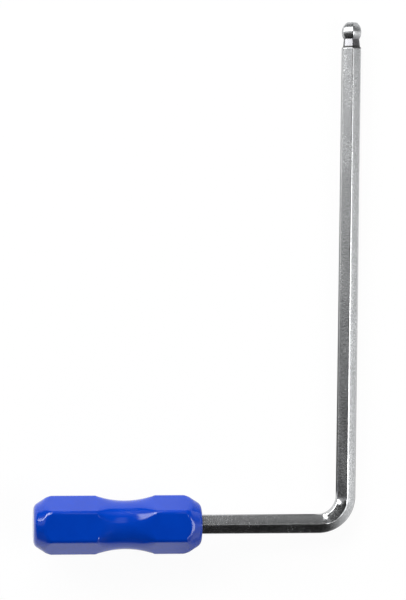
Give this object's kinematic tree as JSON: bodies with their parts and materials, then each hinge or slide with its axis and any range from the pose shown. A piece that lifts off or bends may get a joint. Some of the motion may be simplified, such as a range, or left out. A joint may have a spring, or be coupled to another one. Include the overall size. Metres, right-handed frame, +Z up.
{
  "type": "truss rod wrench",
  "caption": "Long L-shaped hexagon key with a ball end, its short arm fixed in a waisted hexagonal plastic handle, for turning a guitar's truss rod nut.",
  "frame": {"origin": "on the bench under the middle of the whole tool's box, as it lies with the long arm and the handle both touching the bench", "axes": "+Z up from the bench; +Y along the long arm towards its ball end; the short arm and the handle point to -X and rise by 5.7 degrees, because the handle is thicker than the bar"},
  "size_m": [0.0866, 0.1438, 0.0179],
  "materials": {
    "plated_steel": "bright satin plating with fine lengthways drawing marks",
    "blue_plastic": "glossy moulded opaque plastic"
  },
  "bodies": {
    "root": {"hex_key": "plated_steel", "handle": "blue_plastic"}
  },
  "joints": []
}
